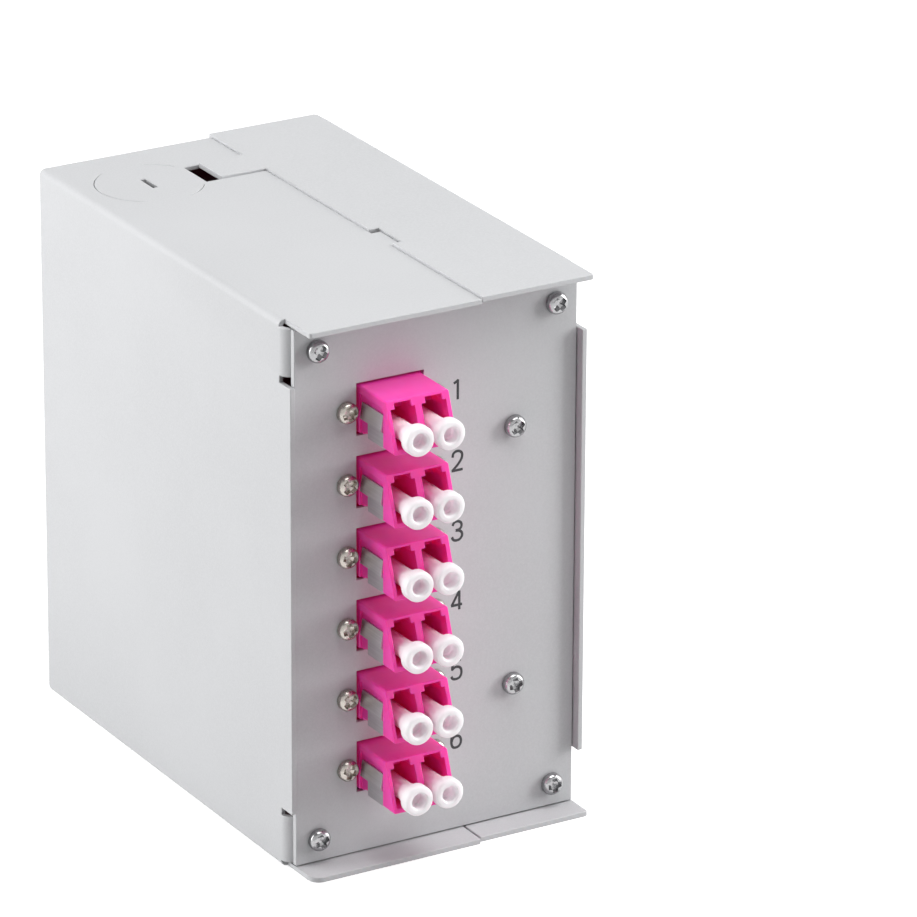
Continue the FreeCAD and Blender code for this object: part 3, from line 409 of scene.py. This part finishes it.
def printed(name, strokes, x, z):
    """Flat ink strokes, standing on the panel face."""
    curve = bpy.data.curves.new(name, "CURVE")
    curve.dimensions = "3D"
    curve.bevel_depth = NUMERAL_STROKE / 2
    curve.bevel_resolution = STROKE_ROUND
    curve.use_fill_caps = True
    curve.resolution_u = STROKE_STEPS
    for stroke in strokes:
        spline = curve.splines.new("BEZIER")
        spline.bezier_points.add(len(stroke) - 1)
        for point, (u, v, smooth) in zip(spline.bezier_points, stroke):
            point.co = ((u - 0.5) * NUMERAL_WIDTH, 0.0, (v - 0.5) * NUMERAL_HEIGHT)
            kind = "AUTO" if smooth else "VECTOR"
            point.handle_left_type = kind
            point.handle_right_type = kind
    drawn = in_scene(name, curve)
    mesh = baked(drawn)
    bpy.data.objects.remove(drawn)
    flatten = Matrix.Diagonal((1.0, INK_FILM / (NUMERAL_STROKE / 2), 1.0, 1.0))
    mesh.transform(Matrix.Translation((x, PANEL_FACE, z)) @ flatten)
    return in_scene(name, mesh)


for i in range(ADAPTER_COUNT):
    numeral_z = TOP_ADAPTER_Z - NUMERAL_DROP - i * NUMERAL_PITCH
    numeral = printed("port_number_%d" % (i + 1), NUMERALS[i + 1], NUMERAL_X, numeral_z)
    finish_piece(numeral, screen_ink, "box", "grey_powder_coat")

# Cover shell. A second folded and coated sheet with the right wall and the rest of the top and bottom
# plates, slid on from the right until its tongues reach the knock-outs.
cover = softened("cover_shell", "coated_cover", COAT_EDGE)
finish_piece(cover, powder_coat, "box", "grey_powder_coat", "cover_shell")

# Case screws. Pan head machine screws with a cross recess, cold headed and zinc plated: four at the
# panel's corners, two into the tray bracket and two at the back into the cover's tabs.
CASE_HEAD = 4.2 * MM
CASE_HEAD_HEIGHT = 1.7 * MM
CASE_ROUND = 1.05 * MM
CASE_CROSS = 2.9 * MM
CASE_CROSS_WIDTH = 0.95 * MM
CASE_CROSS_DEPTH = 1.1 * MM
CASE_SHANK = 3.0 * MM
CASE_LENGTH = 6.0 * MM
CASE_THREAD = 0.5 * MM
CASE_SCREW_X = 24.35 * MM
CASE_SCREW_LOW = 5.65 * MM
CASE_SCREW_HIGH = 99.35 * MM
CORNER_TURNS = (20, 57, 94, 131)
BRACKET_SCREW_X = 15.9 * MM
BRACKET_SCREW_LOW = 27.5 * MM
BRACKET_SCREW_HIGH = 77.5 * MM
BRACKET_TURNS = (10, 35)
BACK_FACE = 47.5 * MM
REAR_TURNS = (5, 35)
HEAD_FOOT = 0.15 * MM
HEAD_ROUND_END = 84
TIP_ABOVE = 0.3 * MM
TIP_KNEE = 0.75
TIP_REACH = (1.06, 0.72, 0.36)
TIP_WIDTH = (1.1, 0.85, 0.5)
TIP_FILLET = 1.25
RIDGE_SHARE = 0.3
RIDGE_SIDES = 4
HELIX_STEPS = 20
BAR_SIDES = 24
LATHE_STEPS = 48
LATHE_WELD = 0.001 * MM
ROUND_STEPS = 6
FACING_FRONT = (math.pi / 2, 0.0, 0.0)
FACING_BACK = (-math.pi / 2, 0.0, 0.0)


def turned(name, profile):
    """Closed mesh spun round Z from a profile of radius and height that starts and ends on the axis."""
    shape = bmesh.new()
    ring = [shape.verts.new((radius, 0.0, level)) for radius, level in profile]
    edges = [shape.edges.new(pair) for pair in zip(ring, ring[1:])]
    bmesh.ops.spin(shape, geom=ring + edges, axis=(0, 0, 1), cent=(0, 0, 0), steps=LATHE_STEPS,
                   angle=2 * math.pi)
    bmesh.ops.remove_doubles(shape, verts=shape.verts, dist=LATHE_WELD)
    bmesh.ops.recalc_face_normals(shape, faces=shape.faces)
    for face in shape.faces:
        face.smooth = True
    mesh = bpy.data.meshes.new(name)
    shape.to_mesh(mesh)
    shape.free()
    return in_scene(name, mesh)


def arc(centre_radius, centre_level, radius, start, end):
    """Profile points along a round, from one angle to another in degrees."""
    turns = [math.radians(start + (end - start) * i / ROUND_STEPS) for i in range(ROUND_STEPS + 1)]
    return [(centre_radius + radius * math.cos(t), centre_level + radius * math.sin(t)) for t in turns]


def pan_head(name, diameter, height, round_edge, cross, cross_width, cross_depth):
    """Pan head with its underside at zero and a tapered cross recess."""
    radius = diameter / 2
    profile = [(0.0, 0.0), (radius - HEAD_FOOT, 0.0), (radius, HEAD_FOOT)]
    profile += arc(radius - round_edge, height - round_edge, round_edge, 0, HEAD_ROUND_END)
    head = turned(name, profile + [(0.0, height)])
    tip = bmesh.new()
    loops = []
    levels = (height + TIP_ABOVE, height - cross_depth * TIP_KNEE, height - cross_depth)
    for level, reach, width in zip(levels, TIP_REACH, TIP_WIDTH):
        arm = cross / 2 * reach
        side = cross_width / 2 * width
        corners = [(arm, -side), (arm, side), (side * TIP_FILLET, side * TIP_FILLET)]
        loop = []
        for quarter in range(4):
            turn = Matrix.Rotation(quarter * math.pi / 2, 3, "Z")
            loop += [tip.verts.new(turn @ Vector((x, y, level))) for x, y in corners]
        loops.append(loop)
    for low, high in zip(loops, loops[1:]):
        for i in range(len(low)):
            j = (i + 1) % len(low)
            tip.faces.new((low[i], low[j], high[j], high[i]))
    tip.faces.new(loops[0])
    tip.faces.new(loops[-1][::-1])
    bmesh.ops.recalc_face_normals(tip, faces=tip.faces)
    tip_mesh = bpy.data.meshes.new("driver_tip")
    tip.to_mesh(tip_mesh)
    tip.free()
    driver_tip = in_scene("driver_tip", tip_mesh)
    recess = head.modifiers.new("cross_recess", "BOOLEAN")
    recess.operation = "DIFFERENCE"
    recess.object = driver_tip
    recess.solver = "EXACT"
    cut = baked(head)
    cut.set_sharp_from_angle(angle=SHARP_FROM)
    head.modifiers.clear()
    head.data = cut
    bpy.data.objects.remove(driver_tip)
    return head


def new_tree(name, inputs, output):
    """Geometry Nodes tree with named inputs and one output, and the sockets of those inputs."""
    tree = bpy.data.node_groups.new(name, "GeometryNodeTree")
    for label, kind in inputs:
        tree.interface.new_socket(label, in_out="INPUT", socket_type=kind)
    tree.interface.new_socket(output, in_out="OUTPUT", socket_type="NodeSocketGeometry")
    return tree, add_node(tree, "NodeGroupInput").outputs


def set_on_seats(tree, seats, thing, rotation, material):
    """Ends a tree: the thing on every seat, made real and given its material."""
    row = add_node(tree, "GeometryNodeInstanceOnPoints", {"Points": seats, "Instance": thing,
                                                          "Rotation": rotation})
    real = add_node(tree, "GeometryNodeRealizeInstances", {"Geometry": row.outputs[0]})
    dressed = add_node(tree, "GeometryNodeSetMaterial", {"Geometry": real.outputs[0], "Material": material})
    add_node(tree, "NodeGroupOutput", {0: dressed.outputs[0]})


screw_tree, given = new_tree("screws_in_seats", (
    ("Seats", "NodeSocketGeometry"), ("Head", "NodeSocketObject"), ("Facing", "NodeSocketVector"),
    ("Shank Diameter", "NodeSocketFloat"), ("Shank Length", "NodeSocketFloat"),
    ("Thread Pitch", "NodeSocketFloat"), ("Plating", "NodeSocketMaterial")), "Screws")
head = add_node(screw_tree, "GeometryNodeObjectInfo", {"Object": given["Head"]})
radius = add_node(screw_tree, "ShaderNodeMath", {0: given["Shank Diameter"], 1: 0.5}, operation="MULTIPLY")
ridge = add_node(screw_tree, "ShaderNodeMath", {0: given["Thread Pitch"], 1: RIDGE_SHARE},
                 operation="MULTIPLY")
core = add_node(screw_tree, "ShaderNodeMath", {0: radius.outputs[0], 1: ridge.outputs[0]},
                operation="SUBTRACT")
turns = add_node(screw_tree, "ShaderNodeMath", {0: given["Shank Length"], 1: given["Thread Pitch"]},
                 operation="DIVIDE")
down = add_node(screw_tree, "ShaderNodeMath", {0: given["Shank Length"], 1: -1.0}, operation="MULTIPLY")
half_down = add_node(screw_tree, "ShaderNodeMath", {0: given["Shank Length"], 1: -0.5},
                     operation="MULTIPLY")
helix = add_node(screw_tree, "GeometryNodeCurveSpiral", {
    "Resolution": HELIX_STEPS, "Rotations": turns.outputs[0], "Start Radius": core.outputs[0],
    "End Radius": core.outputs[0], "Height": given["Shank Length"]})
flank = add_node(screw_tree, "GeometryNodeCurvePrimitiveCircle", {
    "Resolution": RIDGE_SIDES, "Radius": ridge.outputs[0]}, mode="RADIUS")
thread = add_node(screw_tree, "GeometryNodeCurveToMesh", {
    "Curve": helix.outputs["Curve"], "Profile Curve": flank.outputs["Curve"], "Fill Caps": True})
sunk = add_node(screw_tree, "ShaderNodeCombineXYZ", {"Z": down.outputs[0]})
thread = add_node(screw_tree, "GeometryNodeTransform", {
    "Geometry": thread.outputs["Mesh"], "Translation": sunk.outputs[0]})
bar = add_node(screw_tree, "GeometryNodeMeshCylinder", {
    "Vertices": BAR_SIDES, "Radius": core.outputs[0], "Depth": given["Shank Length"]})
middle = add_node(screw_tree, "ShaderNodeCombineXYZ", {"Z": half_down.outputs[0]})
bar = add_node(screw_tree, "GeometryNodeTransform", {
    "Geometry": bar.outputs["Mesh"], "Translation": middle.outputs[0]})
screw = add_node(screw_tree, "GeometryNodeJoinGeometry")
for part in (head.outputs["Geometry"], bar.outputs[0], thread.outputs[0]):
    screw_tree.links.new(part, screw.inputs[0])
turn = add_node(screw_tree, "GeometryNodeInputNamedAttribute", {"Name": "turn"}, data_type="FLOAT")
twist = add_node(screw_tree, "ShaderNodeCombineXYZ", {"Z": turn.outputs["Attribute"]})
twist = add_node(screw_tree, "FunctionNodeEulerToRotation", {"Euler": twist.outputs[0]})
facing = add_node(screw_tree, "FunctionNodeEulerToRotation", {"Euler": given["Facing"]})
seated = add_node(screw_tree, "FunctionNodeRotateRotation", {
    "Rotation": facing.outputs[0], "Rotate By": twist.outputs[0]}, rotation_space="LOCAL")
set_on_seats(screw_tree, given["Seats"], screw.outputs[0], seated.outputs[0], given["Plating"])


def planted(name, tree, seats, sizes):
    """Plain mesh of what the tree puts on the seats, each a point and a turn in degrees."""
    mesh = bpy.data.meshes.new(name)
    mesh.from_pydata([point for point, _ in seats], [], [])
    turns = mesh.attributes.new("turn", "FLOAT", "POINT")
    for item, (_, degrees) in zip(turns.data, seats):
        item.value = math.radians(degrees)
    piece = in_scene(name, mesh)
    modifier = piece.modifiers.new("seats", "NODES")
    modifier.node_group = tree
    for socket in tree.interface.items_tree:
        if socket.in_out == "INPUT" and socket.name in sizes:
            modifier[socket.identifier] = sizes[socket.name]
    made = baked(piece)
    piece.modifiers.clear()
    piece.data = made
    return piece


case_head = pan_head("case_screw_head", CASE_HEAD, CASE_HEAD_HEIGHT, CASE_ROUND, CASE_CROSS,
                     CASE_CROSS_WIDTH, CASE_CROSS_DEPTH)
case_sizes = {"Head": case_head, "Shank Diameter": CASE_SHANK, "Shank Length": CASE_LENGTH,
              "Thread Pitch": CASE_THREAD, "Plating": zinc_steel}
case_heights = (CASE_SCREW_LOW, CASE_SCREW_HIGH)
corner_points = [(x, PANEL_FACE, z) for x in (-CASE_SCREW_X, CASE_SCREW_X) for z in case_heights]
bracket_points = [(BRACKET_SCREW_X, PANEL_FACE, z) for z in (BRACKET_SCREW_LOW, BRACKET_SCREW_HIGH)]
rear_points = [(CASE_SCREW_X, BACK_FACE, z) for z in case_heights]
for name, cad_name, points, degrees, facing in (
        ("panel_corner_screws", "front_panel_screws", corner_points, CORNER_TURNS, FACING_FRONT),
        ("bracket_screws", "tray_bracket_screws", bracket_points, BRACKET_TURNS, FACING_FRONT),
        ("rear_screws", "rear_cover_screws", rear_points, REAR_TURNS, FACING_BACK)):
    screws = planted(name, screw_tree, list(zip(points, degrees)), {**case_sizes, "Facing": facing})
    finish_piece(screws, zinc_steel, "box", "zinc_steel", cad_name)

# Adapter screws. Small pan heads of nickel plated steel, one at each end of an adapter's flange, with a
# nut behind it.
SMALL_HEAD = 4.0 * MM
SMALL_HEAD_HEIGHT = 1.6 * MM
SMALL_ROUND = 0.9 * MM
SMALL_CROSS = 3.0 * MM
SMALL_CROSS_WIDTH = 0.95 * MM
SMALL_CROSS_DEPTH = 1.0 * MM
SMALL_SHANK = 2.0 * MM
SMALL_LENGTH = 5.4 * MM
SMALL_THREAD = 0.4 * MM
SMALL_SCREW_BESIDE = 9.0 * MM
SMALL_FIRST_TURN = 15
SMALL_NEXT_TURN = 29
small_head = pan_head("adapter_screw_head", SMALL_HEAD, SMALL_HEAD_HEIGHT, SMALL_ROUND, SMALL_CROSS,
                      SMALL_CROSS_WIDTH, SMALL_CROSS_DEPTH)
small_seats = []
for i in range(ADAPTER_COUNT):
    for side in (-1, 1):
        seat = (ADAPTER_X + side * SMALL_SCREW_BESIDE, PANEL_FACE, TOP_ADAPTER_Z - i * ADAPTER_PITCH)
        small_seats.append((seat, SMALL_FIRST_TURN + SMALL_NEXT_TURN * i))
small_screws = planted("adapter_flange_screws", screw_tree, small_seats, {
    "Head": small_head, "Facing": FACING_FRONT, "Shank Diameter": SMALL_SHANK,
    "Shank Length": SMALL_LENGTH, "Thread Pitch": SMALL_THREAD, "Plating": nickel_steel})
finish_piece(small_screws, nickel_steel, "box", "nickel_steel", "adapter_screws")
finish_nodes(nickel_steel, "adapter_nuts")
bpy.data.objects.remove(case_head)
bpy.data.objects.remove(small_head)

# Dust caps. Soft translucent plugs of natural polyethylene, moulded in one piece and pushed into each
# port by hand, each free to pull straight out.
CAP_RADIUS = 2.85 * MM
CAP_LENGTH = 2.1 * MM
CAP_REAR = -61.472 * MM
CAP_ROUND = 0.5 * MM
CAP_REAR_ROUND = 0.2 * MM
CAP_HOLE = 1.45 * MM
CAP_HOLE_DEPTH = 2.2 * MM
CAP_HOLE_CORNER = 0.25 * MM
CAP_HOLE_FLARE = 0.3 * MM
CAP_NECK = 2.35 * MM
CAP_NECK_LENGTH = 3.0 * MM
CAP_PLUG = 1.75 * MM
CAP_PLUG_LENGTH = 15.172 * MM
CAP_PLUG_ROUND = 0.15 * MM
CAP_BORE = 1.35 * MM
CAP_BORE_DEPTH = 6.0 * MM
CAP_BORE_FLARE = 0.1 * MM
PORT_PITCH = 6.25 * MM
PORT_DROP = 1.3 * MM
CAP_COLOURS = ("FBF3F7", "F6EAF0")
CAP_ROUGH = (0.34, 0.46)
CAP_IOR = 1.51
CAP_SCATTER = 1.0
CAP_SCATTER_SPREAD = (1.0, 0.85, 0.9)
CAP_SCATTER_DEPTH = 3.0 * MM
MILK = 1.8 * MM

# Natural polyethylene, moulded: milky and translucent, with a soft waxy gloss.
cap_plastic, tree, shader, place = new_finish("polyethylene_moulded_natural", {
    "IOR": CAP_IOR, "Subsurface Weight": CAP_SCATTER, "Subsurface Radius": CAP_SCATTER_SPREAD,
    "Subsurface Scale": CAP_SCATTER_DEPTH})
milk = add_node(tree, "ShaderNodeTexNoise", {"Vector": place, "Scale": 1 / MILK, "Detail": 2.0})
two_toned(tree, shader, milk.outputs["Fac"], CAP_COLOURS, CAP_ROUGH)

hole_floor = CAP_LENGTH - CAP_HOLE_DEPTH
bore_floor = CAP_BORE_DEPTH - CAP_PLUG_LENGTH
profile = [(0.0, hole_floor), (CAP_HOLE - CAP_HOLE_CORNER, hole_floor),
           (CAP_HOLE, hole_floor + CAP_HOLE_CORNER), (CAP_HOLE, CAP_LENGTH - CAP_HOLE_FLARE),
           (CAP_HOLE + CAP_HOLE_FLARE, CAP_LENGTH)]
profile += arc(CAP_RADIUS - CAP_ROUND, CAP_LENGTH - CAP_ROUND, CAP_ROUND, 90, 0)
profile += arc(CAP_RADIUS - CAP_REAR_ROUND, CAP_REAR_ROUND, CAP_REAR_ROUND, 0, -90)
profile += [(CAP_NECK, 0.0), (CAP_PLUG, -CAP_NECK_LENGTH)]
profile += arc(CAP_PLUG - CAP_PLUG_ROUND, CAP_PLUG_ROUND - CAP_PLUG_LENGTH, CAP_PLUG_ROUND, 0, -90)
profile += [(CAP_BORE + CAP_BORE_FLARE, -CAP_PLUG_LENGTH), (CAP_BORE, CAP_BORE_FLARE - CAP_PLUG_LENGTH),
            (CAP_BORE, bore_floor), (0.0, bore_floor)]
cap_shape = turned("cap_shape", profile)
cap_tree, given = new_tree("cap_in_port", (
    ("Ports", "NodeSocketGeometry"), ("Cap", "NodeSocketObject"), ("Facing", "NodeSocketVector"),
    ("Plastic", "NodeSocketMaterial")), "Caps")
cap = add_node(cap_tree, "GeometryNodeObjectInfo", {"Object": given["Cap"]})
facing = add_node(cap_tree, "FunctionNodeEulerToRotation", {"Euler": given["Facing"]})
set_on_seats(cap_tree, given["Ports"], cap.outputs["Geometry"], facing.outputs[0], given["Plastic"])
for i in range(ADAPTER_COUNT):
    for side, letter in ((-1, "a"), (1, "b")):
        port = "%d%s" % (i + 1, letter)
        seat = (ADAPTER_X + side * PORT_PITCH / 2, CAP_REAR, TOP_ADAPTER_Z - PORT_DROP - i * ADAPTER_PITCH)
        dust_cap = planted("moulded_cap_" + port, cap_tree, [(seat, 0)], {
            "Cap": cap_shape, "Facing": FACING_FRONT, "Plastic": cap_plastic})
        dust_cap.data.set_sharp_from_angle(angle=SHARP_FROM)
        finish_piece(dust_cap, cap_plastic, "dust_cap_%s_body" % port, "cap_plastic", "dust_cap_" + port)
bpy.data.objects.remove(cap_shape)

# Floor and backdrop. A pale matt sheet of paper that the box stands on. It is white to the camera, to
# metal and to clear plastic, more so far from the box, and keeps a soft shadow where the box touches it.
FLOOR_SIZE = 6.0
FLOOR_DROP = 0.05 * MM
FLOOR_COLOURS = ("CECECE", "CACACA")
FLOOR_ROUGH = 0.9
FLOOR_FLECK = 2.0 * MM
FLOOR_GLOW = 0.74
FAR_GLOW = 1.0
GLOW_FROM = 0.5
GLOW_FULL = 1.2
WHITE = "FFFFFF"


def in_sight(tree):
    """1 on a ray from the camera or on one that metal or clear plastic sends on, and 0 on any other."""
    path = add_node(tree, "ShaderNodeLightPath").outputs
    sent_on = add_node(tree, "ShaderNodeMath", {0: path["Is Glossy Ray"], 1: path["Is Transmission Ray"]},
                       operation="MAXIMUM")
    seen = add_node(tree, "ShaderNodeMath", {0: path["Is Camera Ray"], 1: sent_on.outputs[0]},
                    operation="MAXIMUM")
    return seen.outputs[0]


# Matt paper: even and pale, with the faintest fleck.
paper, tree, shader, place = new_finish("paper_backdrop_matt", {"Roughness": FLOOR_ROUGH,
                                                                "Emission Color": linear(WHITE)})
fleck = add_node(tree, "ShaderNodeTexNoise", {"Vector": place, "Scale": 1 / FLOOR_FLECK, "Detail": 2.0})
two_toned(tree, shader, fleck.outputs["Fac"], FLOOR_COLOURS)
away = add_node(tree, "ShaderNodeVectorMath", {0: place}, operation="LENGTH").outputs["Value"]
glow = add_node(tree, "ShaderNodeMapRange", {"Value": away, "From Min": GLOW_FROM, "From Max": GLOW_FULL,
                                             "To Min": FLOOR_GLOW, "To Max": FAR_GLOW})
lift = add_node(tree, "ShaderNodeMath", {0: in_sight(tree), 1: glow.outputs[0]}, operation="MULTIPLY")
tree.links.new(lift.outputs[0], shader.inputs["Emission Strength"])

floor_mesh = bpy.data.meshes.new("floor")
half = FLOOR_SIZE / 2
corners = [(x * half, y * half, -FLOOR_DROP) for x, y in ((-1, -1), (1, -1), (1, 1), (-1, 1))]
floor_mesh.from_pydata(corners, [], [(0, 1, 2, 3)])
floor_mesh.materials.append(paper)
floor = in_scene("floor", floor_mesh)

# Light. A soft box low on the left, one overhead, a tall strip box that grazes the panel from the right,
# and a dim room whose walls are white and whose ceiling is dark to the camera, to metal and to plastic.
ROOM_LIGHT = 0.09
WALL = 1.0
CEILING = 0.25
CEILING_FROM = 0.55
CEILING_FULL = 0.80
BOX_SIZE = (0.5, 0.5)
BOX_DISTANCE = 0.75
LEFT_DIRECTION = (-0.85, 0.42, 0.30)
LEFT_POWER = 5.55
TOP_DIRECTION = (0.12, -0.25, 0.96)
TOP_POWER = 4.25
STRIP_SIZE = (0.45, 1.0)
STRIP_DISTANCE = 1.4
STRIP_DIRECTION = (0.85, -0.40, 0.30)
STRIP_POWER = 16.9
LIT_POINT = Vector((0.0, 0.0, 0.052))
world = bpy.data.worlds.new("white_room")
world.use_nodes = True
tree = world.node_tree
tree.nodes.clear()
way = add_node(tree, "ShaderNodeTexCoord").outputs["Generated"]
height = add_node(tree, "ShaderNodeSeparateXYZ", {"Vector": way}).outputs["Z"]
wall = add_node(tree, "ShaderNodeMapRange", {"Value": height, "From Min": CEILING_FROM,
                                             "From Max": CEILING_FULL, "To Min": WALL, "To Max": CEILING})
level = add_node(tree, "ShaderNodeMapRange", {"Value": in_sight(tree), "To Min": ROOM_LIGHT,
                                              "To Max": wall.outputs[0]})
room = add_node(tree, "ShaderNodeBackground", {"Color": linear(WHITE), "Strength": level.outputs[0]})
add_node(tree, "ShaderNodeOutputWorld", {"Surface": room.outputs[0]})
bpy.context.scene.world = world
for name, size, distance, direction, power in (
        ("left_softbox", BOX_SIZE, BOX_DISTANCE, LEFT_DIRECTION, LEFT_POWER),
        ("top_softbox", BOX_SIZE, BOX_DISTANCE, TOP_DIRECTION, TOP_POWER),
        ("right_strip_box", STRIP_SIZE, STRIP_DISTANCE, STRIP_DIRECTION, STRIP_POWER)):
    lamp = bpy.data.lights.new(name, "AREA")
    lamp.shape = "RECTANGLE"
    lamp.size, lamp.size_y = size
    lamp.energy = power
    towards = Vector(direction).normalized()
    softbox = in_scene(name, lamp)
    softbox.location = LIT_POINT + towards * distance
    softbox.rotation_euler = towards.to_track_quat("Z", "Y").to_euler()

# Camera. It stands to the left of the panel and above the box, at the photograph's viewing angle, with a
# long lens that keeps the case's edges nearly parallel.
CAMERA_PLACE = (-0.5823, -1.0410, 0.5356)
CAMERA_FORWARD = (0.4721, 0.7993, -0.3719)
CAMERA_ROLL = math.radians(0.28)
CAMERA_NEAR = 0.05
LENS = 274.7
SENSOR = 36.0
lens = bpy.data.cameras.new("camera")
lens.lens = LENS
lens.sensor_width = SENSOR
lens.clip_start = CAMERA_NEAR
forward = Vector(CAMERA_FORWARD).normalized()
right = forward.cross(Vector((0, 0, 1))).normalized()
up = right.cross(forward)
rolled = math.cos(CAMERA_ROLL) * right + math.sin(CAMERA_ROLL) * up
upright = rolled.cross(forward)
view_turn = Matrix((rolled, upright, -forward)).transposed()
camera = in_scene("camera", lens)
camera.matrix_world = Matrix.Translation(CAMERA_PLACE) @ view_turn.to_4x4()
bpy.context.scene.camera = camera
bpy.context.scene.view_settings.view_transform = "Standard"
